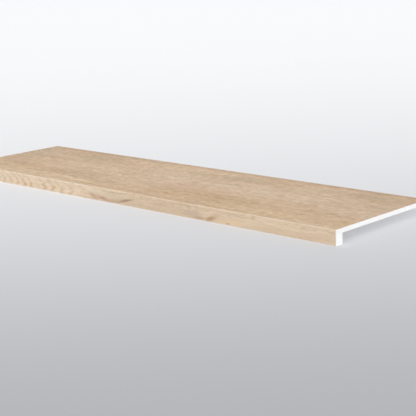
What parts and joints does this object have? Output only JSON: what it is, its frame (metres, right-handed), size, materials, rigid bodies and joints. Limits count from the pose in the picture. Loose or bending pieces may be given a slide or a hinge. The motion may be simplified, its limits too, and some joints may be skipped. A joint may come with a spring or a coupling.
{
  "type": "stair tread trim",
  "caption": "Full-depth stair tread trim: a thin oak-decor board with a thick square nose turned down along its front edge, to cap a step.",
  "frame": {"origin": "under the middle of the tread, halfway along its length and depth, level with the foot of the nose", "axes": "+X along the length, -Y out of the nose's face, +Y to the back edge, +Z out of the walking face"},
  "size_m": [1.2, 0.3, 0.03],
  "materials": {
    "oak_decor_board": "matte"
  },
  "bodies": {
    "root": {"stair_tread": "oak_decor_board"}
  },
  "joints": []
}
